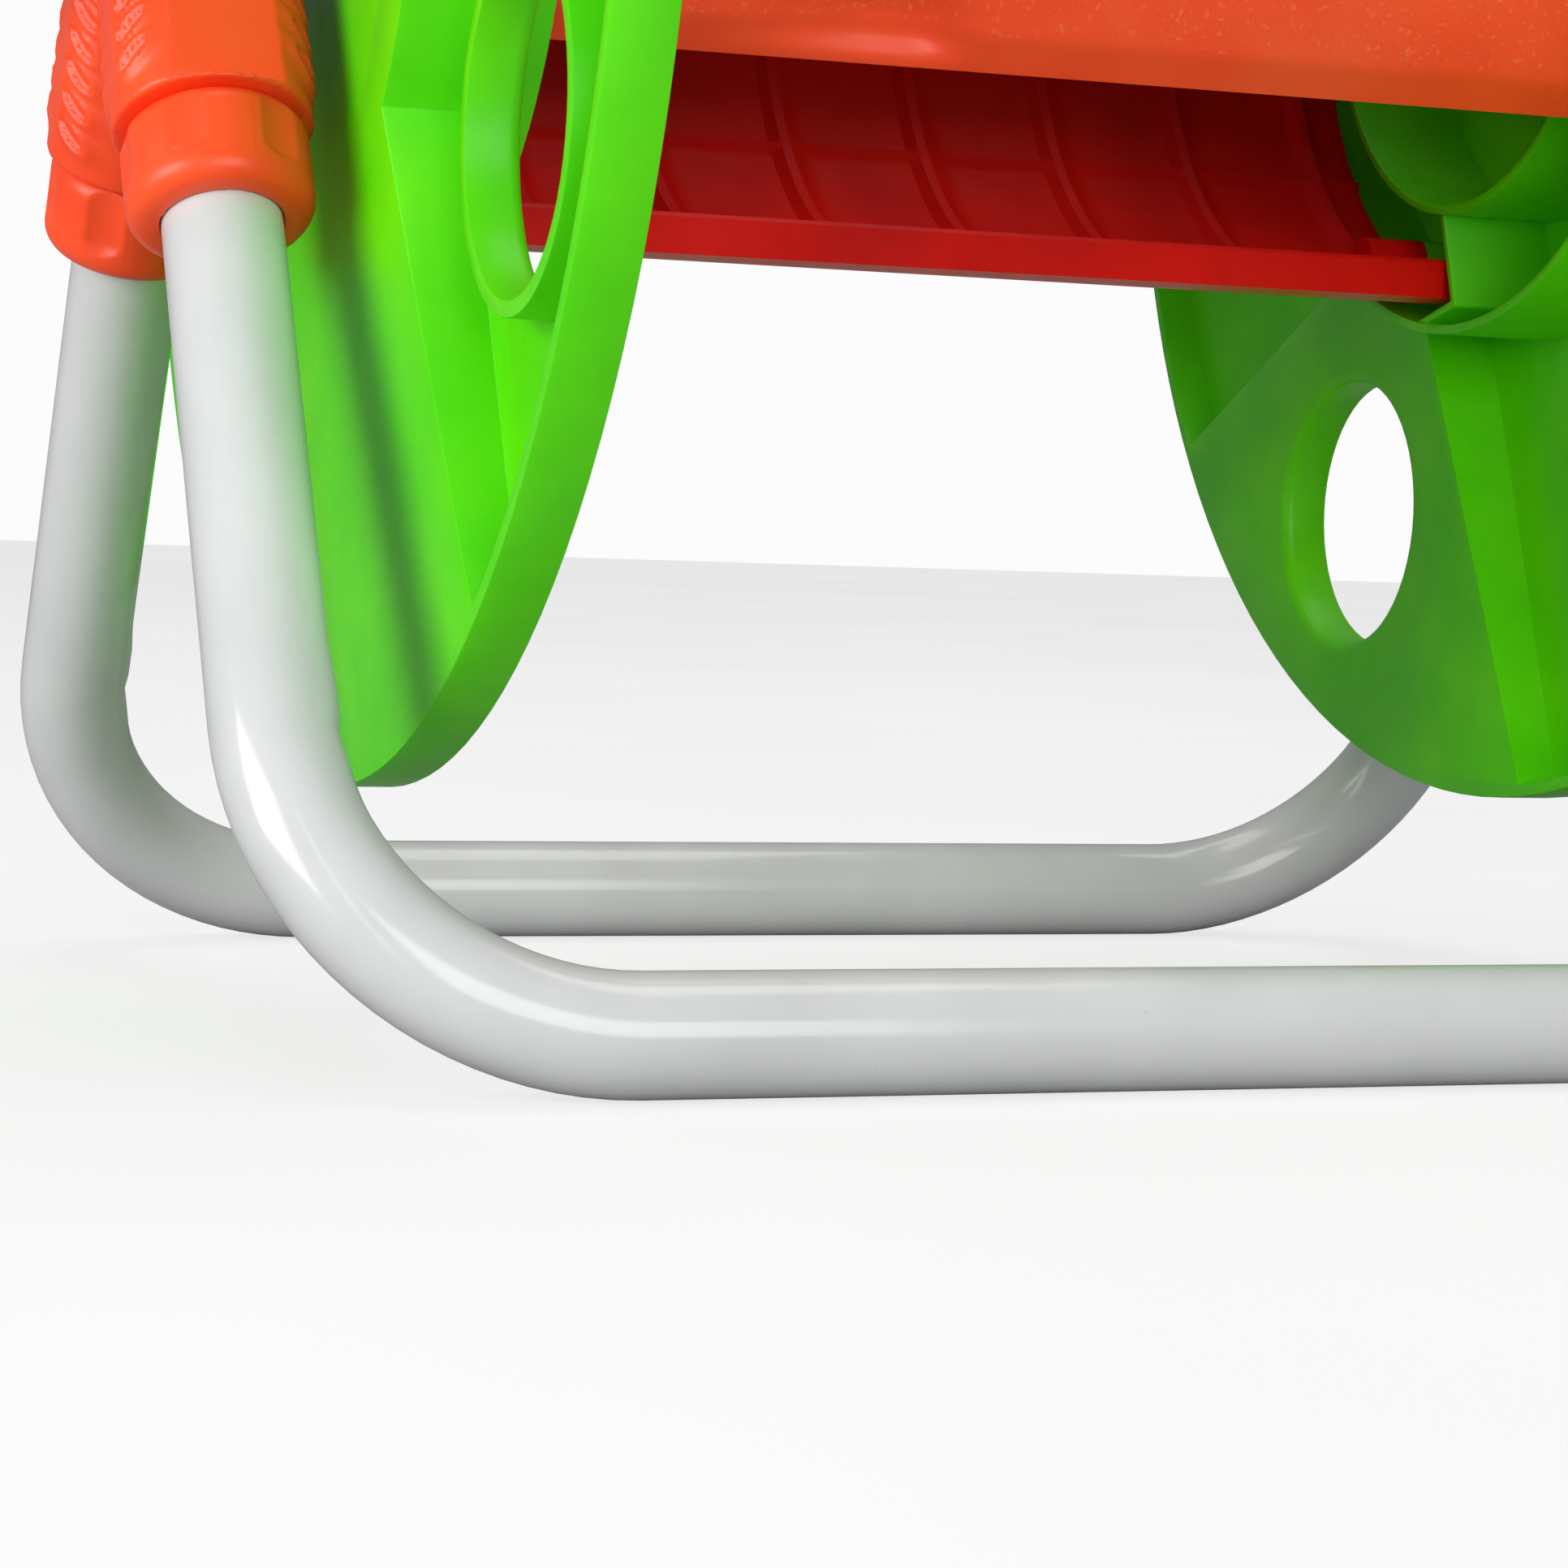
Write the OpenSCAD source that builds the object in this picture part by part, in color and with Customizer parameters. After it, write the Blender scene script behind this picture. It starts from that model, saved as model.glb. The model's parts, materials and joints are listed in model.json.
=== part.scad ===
// Free-standing garden hose reel: two bent tube legs, two side brackets, a spoked drum and a crank.
// Origin: on the floor, midway between the legs. The axle runs along X, and the crank is on the +X side.

/* [Stand] */
// Distance between the leg tube centrelines, along the axle
stand_w = 328; // [310:1:400]
// Distance between the front and rear floor bars, centre to centre
foot_depth = 246; // [205:1:300]
// Height of the axle above the floor
hub_h = 224; // [222:1:300]
// Height of the carrying handle's centreline above the floor
handle_h = 478; // [450:1:620]
// Outer diameter of the steel tube
tube_d = 22; // [19:0.5:26]
// Wall of the steel tube
tube_wall = 1.5; // [1:0.1:2.5]
// Centreline radius of the lower bends
bend_r = 58; // [40:1:80]
// Centreline radius of the handle bends
handle_bend_r = 46; // [35:1:70]
// Length of the handle grip
grip_len = 128; // [80:1:160]
// Thickness of the handle grip's wall
grip_wall = 5; // [3:0.5:8]

/* [Brackets and collars] */
// Wall of a bracket socket around its tube
socket_wall = 6.5; // [4:0.5:9]
// Distance from the axle to the end of a leg socket
socket_reach = 60; // [52:1:75]
// Height of the handle socket's mouth above the axle
top_reach = 54; // [46:1:75]
// Length of a fluted collar
collar_len = 26; // [18:1:34]
// Wall of a fluted collar
collar_wall = 7; // [5:0.5:9]
// Number of flutes around a collar
flute_count = 12; // [8:1:16]
// Radius of the bracket's hub boss
boss_r = 27; // [24:1:32]

/* [Reel] */
// Diameter of the flanges
flange_d = 360; // [320:1:400]
// Width of the reel over the two rims
reel_w = 266; // [220:1:272]
// Width of a flange's rim band
rim_w = 11.5; // [8:0.5:16]
// Wall of the flange moulding
skin = 2.6; // [2:0.1:3.5]
// How far the hub disc stands out past the rim plane
dish = 7; // [4:0.5:9]
// Radius of the flange's hub disc
hub_disc_r = 83; // [82:1:100]
// Distance from the axle to the wide side of each arm
arm_far = 61.5; // [50:0.5:66]
// Distance from the axle to the narrow side of each arm
arm_near = 31.5; // [24:0.5:36]
// Diameter of the round holes
hole_d = 60; // [40:1:64]
// Radius of the circle that the holes lie on
hole_pitch_r = 134; // [125:1:140]
// Angle from an arm to the next hole
hole_lead = 53.4; // [50:0.1:57]
// Angle that the reel stands at
reel_turn = -26.6; // [-45:0.1:45]
// Radius of the inner hub ring
ring_in_r = 55.5; // [50:0.5:58]
// Radius of the outer hub ring
ring_out_r = 81; // [79:0.5:82]
// How far the hub rings reach past the flange's inner plane
ring_reach = 10.3; // [6:0.1:14]
// Wall of a hub ring
ring_wall = 2; // [1.6:0.1:3]

/* [Drum] */
// Outer radius of the drum shells
drum_r = 75; // [72:0.5:76]
// Wall of a drum shell
drum_wall = 3; // [2:0.1:4]
// Depth of the shells' turned-in edges
lip_depth = 10; // [6:0.5:12]
// Angle that each of the two drum shells covers
shell_span = 120; // [100:1:130]
// Distance between the ribs that run around inside a shell
rib_pitch = 28; // [20:1:40]

/* [Axle and crank] */
// Radius of the axle journals
axle_r = 12; // [10:0.5:13]
// Radius of the water passage
water_r = 6; // [4:0.5:7]
// Distance from the axle to the crank knob
crank_r = 108; // [90:1:120]
// Angle that the crank arm points to
crank_turn = 0; // [0:1:90]
// Length of the crank knob
knob_len = 74; // [60:1:90]
// Radius of the crank knob at its widest
knob_r = 14; // [12:0.5:18]
// Radius of the knob pin
knob_pin_r = 4; // [3:0.5:5]

/* [Water inlet] */
// Length of the swivel housing
swivel_len = 26; // [22:1:34]
// Length of the swivel's threaded stub
stub_len = 16; // [12:1:20]
// Radius of the stub's pipe thread
thread_r = 13.1; // [12.5:0.1:14]
// Radius of the quick connector's nipple
nipple_r = 7.9; // [7.5:0.1:8.5]
// Length of the quick connector's nipple
nipple_len = 30; // [18:1:36]

/* [Hidden] */
$fn = 96;
eps = 0.01;
run_gap = 0.05;
tube_r = tube_d / 2;
leg_x = stand_w / 2;
foot_y = foot_depth / 2;
leg_rise = hub_h - tube_r;
leg_lean = atan(foot_y / leg_rise);
leg_len = norm([foot_y, leg_rise]);
bar_half = leg_x - bend_r;
tube_start = socket_reach / 2 + 2;
socket_r = tube_r + socket_wall;
collar_r = tube_r + collar_wall;
flute_r = 3.2;
flange_r = flange_d / 2;
inner_x = reel_w / 2 - rim_w;
disc_z = rim_w + dish;
disc_x = inner_x + disc_z;
bracket_in = leg_x - collar_r;
bracket_out = leg_x + collar_r;
shell_end = inner_x - 3.5;
tie_r = drum_r - drum_wall - 3.6;
tie_spread = shell_span / 2 - 18;
tie_boss_r = 4.2;
tie_screw_r = 1.8;
tie_head_r = 3.6;
tie_head_h = 2.2;
tie_depth = 14;
bush_wall = 3;
bush_lip = 3.5;
bush_r = axle_r + bush_wall;
plate_r = 28;
plate_h = 4;
neck_r = 20;
arm_x = bracket_out + 4;
arm_t = 11;
square_w = 13;
swivel_x = bracket_out + 3;
swivel_r = 17;
seal_x = swivel_x + swivel_len - 12;
thread_grip = 12;
seal_w = 3;
grip_r = tube_r + grip_wall;
screw_r = 2;
screw_head_r = 4;
screw_head_h = 2.6;
screw_at = 46;
top_screw_at = 44;

// Placement helpers

// Lays a shape drawn in XY so that its X runs to the rear, its Y runs up and its height runs along +X
module along_x() {
    rotate([90, 0, 90]) children();
}

module on_axle() {
    translate([0, 0, hub_h]) children();
}

// Turns a shape drawn with its first arm down to where the reel stands
module reel_pose() {
    on_axle() along_x() rotate(reel_turn) children();
}

// The same, for a flange drawn with its inner plane at Z = 0 and its outside at +Z
module flange_pose(side) {
    mirror([side < 0 ? 1 : 0, 0, 0]) translate([inner_x, 0, 0]) reel_pose() children();
}

// A frame whose origin is on the axle above one pair of legs, with -Z running down the leg
module leg_pose(side, end) {
    translate([side * leg_x, 0, hub_h]) rotate([end * leg_lean, 0, 0]) children();
}

module top_pose(side) {
    translate([side * leg_x, 0, hub_h]) children();
}

module pipe(radius, bore, length) {
    difference() {
        cylinder(r = radius, h = length);
        translate([0, 0, -1]) cylinder(r = bore, h = length + 2);
    }
}

// Bent steel tube

module tube_ring() {
    difference() {
        circle(r = tube_r);
        circle(r = tube_r - tube_wall);
    }
}

// A U of tube in the XZ plane: the bar along X at Z = 0, and the legs up to height
module u_tube(half, radius, height) {
    translate([-half, 0, 0]) rotate([0, 90, 0]) linear_extrude(2 * half) tube_ring();
    for (side = [-1, 1])
        translate([side * half, 0, radius]) {
            rotate([90, 0, 0])
                rotate([0, 0, side > 0 ? -90 : 180])
                    rotate_extrude(angle = 90) translate([radius, 0]) tube_ring();
            translate([side * radius, 0, 0]) linear_extrude(height - radius) tube_ring();
        }
}

module leg(end) {
    color("gainsboro")
        translate([0, end * foot_y, tube_r])
            rotate([end * leg_lean, 0, 0])
                u_tube(bar_half, bend_r, leg_len - tube_start);
}

module front_leg() {
    leg(-1);
}

module rear_leg() {
    leg(1);
}

module handle_tube() {
    color("gainsboro")
        translate([0, 0, handle_h])
            mirror([0, 0, 1])
                u_tube(leg_x - handle_bend_r, handle_bend_r, handle_h - hub_h - tube_start);
}

module handle_grip() {
    groove_r = 1.6;
    groove_pitch = 16;
    color("orangered")
        translate([-grip_len / 2, 0, handle_h])
            rotate([0, 90, 0])
                difference() {
                    rotate_extrude()
                        difference() {
                            translate([tube_r + run_gap, 0]) square([grip_wall, grip_len]);
                            for (at = [groove_pitch : groove_pitch : grip_len - groove_pitch / 2])
                                translate([grip_r + run_gap, at]) circle(r = groove_r, $fn = 24);
                        }
                }
}

// Side brackets

module socket_outside(length) {
    step = 5;
    translate([0, 0, -length]) cylinder(r = socket_r, h = length);
    translate([0, 0, -length]) cylinder(r = collar_r + 0.6, h = step);
}

module socket_bore(length) {
    translate([0, 0, -length - 1]) cylinder(r = tube_r + run_gap, h = length - tube_start + 1);
}

module bracket(side) {
    color("orangered")
        difference() {
            union() {
                for (end = [-1, 1]) leg_pose(side, end) socket_outside(socket_reach);
                top_pose(side) mirror([0, 0, 1]) socket_outside(top_reach);
                on_axle() translate([side * leg_x, 0, 0]) rotate([0, 90, 0])
                    cylinder(r = boss_r, h = 2 * collar_r, center = true);
                bracket_web(side);
            }
            for (end = [-1, 1]) leg_pose(side, end) socket_bore(socket_reach);
            top_pose(side) mirror([0, 0, 1]) socket_bore(top_reach);
            on_axle() translate([side * leg_x, 0, 0]) rotate([0, 90, 0])
                cylinder(r = bush_r + run_gap, h = 2 * collar_r + 2, center = true);
            for (end = [-1, 1]) leg_pose(side, end) screw_hole(side, screw_at);
            top_pose(side) mirror([0, 0, 1]) screw_hole(side, top_screw_at);
        }
}

// The flat web in the crotch of the two leg sockets
module bracket_web(side) {
    web_t = 12;
    drop = socket_reach * 0.72;
    reach = drop * tan(leg_lean);
    translate([side * leg_x - web_t / 2, 0, hub_h])
        along_x()
            linear_extrude(web_t) polygon([[0, 0], [reach, -drop], [-reach, -drop]]);
}

module screw_hole(side, at) {
    translate([0, 0, -at])
        rotate([0, side * 90, 0]) {
            cylinder(r = screw_r + run_gap, h = collar_r + 2, $fn = 32);
            translate([0, 0, socket_r - screw_head_h])
                cylinder(r = screw_head_r + run_gap, h = screw_head_h + collar_r, $fn = 32);
        }
}

// A self-tapping screw from the socket's outside into the tube wall
module tube_screw(side, at) {
    translate([0, 0, -at])
        rotate([0, side * 90, 0]) {
            translate([0, 0, tube_r - tube_wall - 2])
                cylinder(r = screw_r, h = socket_r - screw_head_h - tube_r + tube_wall + 2, $fn = 32);
            translate([0, 0, socket_r - screw_head_h])
                difference() {
                    cylinder(r = screw_head_r, h = screw_head_h - 0.4, $fn = 32);
                    cross_slot(screw_head_h - 0.4);
                }
        }
}

// The cross recess in a screw head whose top is at the given height
module cross_slot(top) {
    for (turn = [0, 90])
        translate([0, 0, top]) rotate(turn) cube([4, 0.9, 2.4], center = true);
}

module bracket_screws(side) {
    color("silver") {
        for (end = [-1, 1]) leg_pose(side, end) tube_screw(side, screw_at);
        top_pose(side) mirror([0, 0, 1]) tube_screw(side, top_screw_at);
    }
}

module left_bracket() {
    bracket(-1);
}

module right_bracket() {
    bracket(1);
}

module left_bracket_screws() {
    bracket_screws(-1);
}

module right_bracket_screws() {
    bracket_screws(1);
}

// Fluted collar around a tube, hanging below its socket's mouth
module collar(mouth) {
    chamfer = 3;
    flute_stop = 8;
    color("orangered")
        translate([0, 0, -mouth - collar_len])
            difference() {
                rotate_extrude()
                    polygon([
                        [tube_r + run_gap, 0],
                        [collar_r - chamfer, 0],
                        [collar_r, chamfer],
                        [collar_r, collar_len - run_gap],
                        [tube_r + run_gap, collar_len - run_gap]
                    ]);
                for (n = [0 : flute_count - 1])
                    rotate((n + 0.5) * 360 / flute_count)
                        translate([collar_r + flute_r * 0.55, 0, flute_stop]) {
                            cylinder(r = flute_r, h = collar_len, $fn = 32);
                            sphere(r = flute_r, $fn = 32);
                        }
            }
}

module left_front_collar() {
    leg_pose(-1, -1) collar(socket_reach);
}

module left_rear_collar() {
    leg_pose(-1, 1) collar(socket_reach);
}

module left_top_collar() {
    top_pose(-1) mirror([0, 0, 1]) collar(top_reach);
}

module right_front_collar() {
    leg_pose(1, -1) collar(socket_reach);
}

module right_rear_collar() {
    leg_pose(1, 1) collar(socket_reach);
}

module right_top_collar() {
    top_pose(1) mirror([0, 0, 1]) collar(top_reach);
}

// Plain bearing bush with a thrust lip towards the reel
module bush(side) {
    color("dimgray")
        mirror([side < 0 ? 1 : 0, 0, 0])
            on_axle() rotate([0, 90, 0]) {
                translate([0, 0, bracket_in]) pipe(bush_r, axle_r + run_gap, 2 * collar_r);
                translate([0, 0, bracket_in - bush_lip]) pipe(bush_r + 4, axle_r + run_gap, bush_lip);
            }
}

module left_bush() {
    bush(-1);
}

module right_bush() {
    bush(1);
}

// Flanges

// One raised panel between two arms, grown outwards by the given amount
module panel(grow) {
    intersection() {
        translate([arm_far - grow, -flange_r - 1]) square([flange_r, flange_r + 1 - arm_near + grow]);
        difference() {
            circle(r = flange_r + 1);
            circle(r = hub_disc_r - grow);
        }
    }
}

module hole_at() {
    rotate(hole_lead) translate([0, -hole_pitch_r]) children();
}

module quarter_turns() {
    for (n = [0 : 3]) rotate(90 * n) children();
}

// Profile of the dished face at a given distance below its outside
module dish_profile(below, radius) {
    slope_top = disc_z - below;
    rim_top = rim_w - below;
    polygon([[0, 0], [radius, 0], [radius, rim_top], [hub_disc_r, slope_top], [0, slope_top]]);
}

// L-shaped rib beside a shell edge, between the two hub rings
module edge_rib() {
    rib_t = 1.8;
    foot_in = [4, -ring_in_r];
    corner = [-3, 0.6 - drum_r];
    foot_out = [13, -ring_out_r + ring_wall];
    for (run = [[foot_in, corner], [corner, foot_out]]) {
        way = run[1] - run[0];
        translate(run[0]) rotate(atan2(way.y, way.x)) translate([0, -rib_t / 2])
            square([norm(way), rib_t]);
    }
    translate(corner) circle(r = rib_t / 2, $fn = 16);
}

module flange(side) {
    collar_t = 3;
    color("limegreen")
        flange_pose(side)
            difference() {
                union() {
                    flange_shell(collar_t);
                    for (radius = [ring_in_r, ring_out_r])
                        translate([0, 0, -ring_reach])
                            pipe(radius, radius - ring_wall, disc_z + ring_reach - 1);
                    for (half = [0, 180]) for (edge = [0, 1])
                        rotate(half + 90) mirror([edge, 0, 0]) rotate(-shell_span / 2 - 2)
                            translate([0, 0, -ring_reach + 1])
                                linear_extrude(disc_z + ring_reach - 2) edge_rib();
                    tie_places() translate([0, 0, shell_end - inner_x])
                        cylinder(r = tie_boss_r, h = disc_z + inner_x - shell_end - 1, $fn = 32);
                }
                translate([0, 0, -1]) cylinder(r = axle_r + run_gap, h = disc_z + 2);
                translate([0, 0, -1]) cylinder(r = plate_r + 0.2, h = disc_z - skin + 1);
                tie_places() {
                    translate([0, 0, shell_end - inner_x - 1])
                        cylinder(r = tie_screw_r + run_gap, h = disc_z + 10, $fn = 32);
                    translate([0, 0, disc_z - tie_head_h])
                        cylinder(r = tie_head_r + run_gap, h = 10, $fn = 32);
                }
            }
}

// The constant-wall moulding: pockets from outside over the panels, recesses from inside under the arms
module flange_shell(collar_t) {
    difference() {
        rotate_extrude($fn = 180) dish_profile(0, flange_r);
        difference() {
            quarter_turns() translate([0, 0, skin])
                linear_extrude(disc_z) intersection() {
                    panel(0);
                    circle(r = flange_r - skin);
                }
            quarter_turns() hole_at() cylinder(r = hole_d / 2 + collar_t, h = rim_w - 0.8);
        }
        difference() {
            translate([0, 0, -eps]) rotate_extrude($fn = 180) dish_profile(skin, flange_r - skin);
            quarter_turns() translate([0, 0, -1]) linear_extrude(disc_z + 2) panel(skin);
        }
        quarter_turns() hole_at() translate([0, 0, -1]) cylinder(r = hole_d / 2, h = disc_z + 2);
    }
}

// The four places where a screw ties a flange to the drum shells
module tie_places() {
    for (half = [90, -90]) for (edge = [-1, 1])
        rotate(half + edge * tie_spread) translate([0, -tie_r]) children();
}

module left_flange() {
    flange(-1);
}

module right_flange() {
    flange(1);
}

module flange_screws(side) {
    color("silver")
        flange_pose(side)
            tie_places() {
                translate([0, 0, shell_end - inner_x - tie_depth + 1])
                    cylinder(r = tie_screw_r, h = disc_z - tie_head_h + tie_depth + 2.5, $fn = 32);
                translate([0, 0, disc_z - tie_head_h])
                    difference() {
                        cylinder(r = tie_head_r, h = tie_head_h - 0.3, $fn = 32);
                        cross_slot(tie_head_h - 0.3);
                    }
            }
}

module left_flange_screws() {
    flange_screws(-1);
}

module right_flange_screws() {
    flange_screws(1);
}

// Drum shells

// A wedge of the plane, centred on -Y, that covers the given angle
module wedge(angle, radius) {
    far = radius * 3;
    polygon([
        [0, 0],
        [-far * sin(angle / 2), -far * cos(angle / 2)],
        [0, -far * 1.2],
        [far * sin(angle / 2), -far * cos(angle / 2)]
    ]);
}

module shell_section(depth) {
    intersection() {
        difference() {
            circle(r = drum_r);
            circle(r = drum_r - depth);
        }
        wedge(shell_span, drum_r);
    }
}

module drum_shell() {
    rib_t = 1.8;
    rib_depth = drum_wall + 3;
    length = 2 * shell_end;
    rib_count = floor((length - rib_pitch) / rib_pitch);
    first = -rib_pitch * (rib_count - 1) / 2;
    difference() {
        union() {
            translate([0, 0, -shell_end]) linear_extrude(length) shell_section(drum_wall);
            for (edge = [-1, 1])
                translate([0, 0, -shell_end]) linear_extrude(length) intersection() {
                    shell_section(lip_depth);
                    rotate(edge * shell_span / 2) translate([-drum_wall, -drum_r])
                        square([2 * drum_wall, drum_r]);
                }
            for (n = [0 : rib_count - 1])
                translate([0, 0, first + n * rib_pitch - rib_t / 2])
                    linear_extrude(rib_t) shell_section(rib_depth);
            translate([0, 0, -shell_end]) linear_extrude(length) intersection() {
                shell_section(rib_depth);
                translate([-rib_t / 2, -drum_r]) square([rib_t, drum_r]);
            }
            for (end = [-1, 1]) shell_bosses(end, tie_boss_r, 0);
        }
        for (end = [-1, 1]) shell_bosses(end, tie_screw_r + run_gap, 1);
    }
}

module shell_bosses(end, radius, past) {
    for (edge = [-1, 1])
        rotate(edge * tie_spread)
            translate([0, -tie_r, end > 0 ? shell_end - tie_depth : -shell_end - past])
                cylinder(r = radius, h = tie_depth + past, $fn = 32);
}

module front_drum_shell() {
    color("orangered") reel_pose() rotate(-90) drum_shell();
}

module rear_drum_shell() {
    color("orangered") reel_pose() rotate(90) drum_shell();
}

// Axle, water outlet and crank

// Journal on a round plate that beds against the inside of a flange's hub disc
module spindle_body(side, length) {
    mirror([side < 0 ? 1 : 0, 0, 0])
        on_axle() rotate([0, 90, 0]) {
            translate([0, 0, disc_x - skin - plate_h]) cylinder(r = plate_r, h = plate_h);
            translate([0, 0, disc_x - skin - eps]) cylinder(r = axle_r, h = length);
        }
}

module left_spindle() {
    length = swivel_x + swivel_len - 6 - disc_x + skin;
    color("darkslategray")
        difference() {
            spindle_body(-1, length);
            on_axle() translate([-disc_x - length - 2, 0, 0]) rotate([0, 90, 0])
                cylinder(r = water_r, h = length + plate_h + 4);
            on_axle() translate([-seal_x, 0, 0]) rotate([0, 90, 0])
                rotate_extrude() translate([axle_r - 1.5, -seal_w / 2]) square([3, seal_w]);
        }
}

module right_spindle() {
    color("darkslategray")
        difference() {
            union() {
                spindle_body(1, arm_x - 0.5 - disc_x + skin);
                on_axle() translate([arm_x - 1, -square_w / 2, -square_w / 2])
                    cube([arm_t - 1, square_w, square_w]);
            }
            on_axle() translate([arm_x - 22, 0, 0]) rotate([0, 90, 0])
                cylinder(r = 3 + run_gap, h = 40, $fn = 32);
        }
}

// Elbow that takes the water from the hollow spindle out through the gap between the shells
module outlet_pose() {
    on_axle() rotate([reel_turn + 180, 0, 0]) children();
}

module outlet_elbow() {
    outer = water_r + 3.5;
    plate_x = -disc_x + skin + plate_h;
    turn_x = plate_x + 22;
    drop = 50;
    color("darkslategray")
        outlet_pose()
            difference() {
                union() {
                    translate([plate_x, 0, 0]) rotate([0, 90, 0]) cylinder(r = outer, h = 22);
                    translate([plate_x, 0, 0]) rotate([0, 90, 0]) cylinder(r = neck_r, h = 4);
                    translate([turn_x, 0, 0]) sphere(r = outer);
                    translate([turn_x, 0, -drop]) cylinder(r = outer, h = drop);
                }
                translate([plate_x - 1, 0, 0]) rotate([0, 90, 0]) cylinder(r = water_r, h = 23);
                translate([turn_x, 0, -drop - 1]) cylinder(r = water_r, h = drop + 1);
            }
}

// Nut that clamps the inner end of the hose on the outlet
module outlet_nut() {
    outer = water_r + 3.5;
    turn_x = -disc_x + skin + plate_h + 22;
    color("orangered")
        outlet_pose()
            translate([turn_x, 0, -51])
                difference() {
                    cylinder(r = outer + 4.5, h = 17);
                    translate([0, 0, -1]) cylinder(r = outer + run_gap, h = 19);
                    for (n = [0 : 7])
                        rotate(45 * n) translate([outer + 5.6, 0, -1])
                            cylinder(r = 2.2, h = 19, $fn = 24);
                }
}

module crank_pose() {
    on_axle() rotate([crank_turn, 0, 0]) translate([arm_x, 0, 0]) children();
}

module crank_arm() {
    hub_r = 17;
    tip_r = 12;
    color("orangered")
        crank_pose()
            difference() {
                union() {
                    rotate([0, 90, 0]) cylinder(r = hub_r, h = arm_t);
                    translate([0, 0, -crank_r]) rotate([0, 90, 0]) cylinder(r = tip_r, h = arm_t);
                    along_x() linear_extrude(arm_t)
                        polygon([[-hub_r, 0], [hub_r, 0], [tip_r, -crank_r], [-tip_r, -crank_r]]);
                }
                translate([arm_t - 4, 0, 0]) along_x() linear_extrude(6)
                    polygon([
                        [-hub_r + 5, -hub_r - 4],
                        [hub_r - 5, -hub_r - 4],
                        [tip_r - 4, -crank_r + tip_r + 4],
                        [-tip_r + 4, -crank_r + tip_r + 4]
                    ]);
                rotate([-crank_turn, 0, 0])
                    translate([-1, -square_w / 2 - run_gap, -square_w / 2 - run_gap])
                        cube([arm_t - 1, square_w + 2 * run_gap, square_w + 2 * run_gap]);
                rotate([0, 90, 0]) cylinder(r = 3 + run_gap, h = arm_t + 1, $fn = 32);
                translate([-1, 0, -crank_r]) rotate([0, 90, 0])
                    cylinder(r = knob_pin_r + run_gap, h = arm_t + 2, $fn = 48);
            }
}

module crank_bolt() {
    shank = 28;
    head_r = 6.5;
    color("silver")
        crank_pose()
            rotate([0, 90, 0]) {
                translate([0, 0, arm_t + 0.1 - shank]) cylinder(r = 3, h = shank, $fn = 32);
                translate([0, 0, arm_t + 0.1])
                    difference() {
                        cylinder(r = head_r, h = 4, $fn = 48);
                        cross_slot(4);
                    }
            }
}

// Headed pin that the knob turns on
module knob_pin() {
    color("silver")
        crank_pose()
            translate([0, 0, -crank_r])
                rotate([0, 90, 0]) {
                    translate([0, 0, -2.5]) cylinder(r = knob_pin_r + 3, h = 2.4, $fn = 48);
                    translate([0, 0, -0.2])
                        cylinder(r = knob_pin_r, h = arm_t + knob_len - 3.8, $fn = 48);
                    translate([0, 0, arm_t + knob_len - 4.2])
                        cylinder(r = knob_pin_r + 2.5, h = 2.6, $fn = 48);
                }
}

module crank_knob() {
    neck = knob_r * 0.72;
    color("dimgray")
        crank_pose()
            translate([arm_t + 0.6, 0, -crank_r])
                rotate([0, 90, 0])
                    difference() {
                        union() {
                            cylinder(r1 = neck, r2 = knob_r, h = knob_len * 0.35);
                            translate([0, 0, knob_len * 0.35]) cylinder(r = knob_r, h = knob_len * 0.45);
                            translate([0, 0, knob_len * 0.8])
                                cylinder(r1 = knob_r, r2 = neck, h = knob_len * 0.2);
                        }
                        translate([0, 0, -1]) cylinder(r = knob_pin_r + run_gap, h = knob_len + 2);
                        translate([0, 0, knob_len - 5.2]) cylinder(r = knob_pin_r + 3, h = 6);
                        for (n = [0 : 7])
                            rotate(45 * n) translate([knob_r + 2, 0, knob_len * 0.3])
                                cylinder(r = 3, h = knob_len * 0.6, $fn = 24);
                    }
}

// Water inlet: a housing that swivels on the end of the left spindle

module left_out(from) {
    on_axle() translate([-from, 0, 0]) rotate([0, -90, 0]) children();
}

module inlet_swivel() {
    end_wall = 5;
    flats = 6;
    color("darkslategray")
        left_out(swivel_x)
            difference() {
                union() {
                    cylinder(r = swivel_r, h = swivel_len - 4);
                    translate([0, 0, swivel_len - 4 - eps])
                        cylinder(r1 = swivel_r, r2 = thread_r, h = 4 + eps);
                    translate([0, 0, swivel_len - eps]) cylinder(r = thread_r, h = stub_len);
                }
                translate([0, 0, -1])
                    cylinder(r = axle_r + run_gap, h = swivel_len - end_wall + 1);
                cylinder(r = water_r, h = swivel_len + stub_len + 1);
                for (n = [0 : flats - 1])
                    rotate(n * 360 / flats) translate([swivel_r * 0.94, -swivel_r, 8])
                        cube([swivel_r, 2 * swivel_r, swivel_len - 12]);
            }
}

module inlet_seal() {
    color("black")
        on_axle() translate([-seal_x, 0, 0]) rotate([0, 90, 0])
            rotate_extrude() translate([axle_r - 1.4, -seal_w / 2 + 0.1]) square([1.4, seal_w - 0.2]);
}

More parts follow.
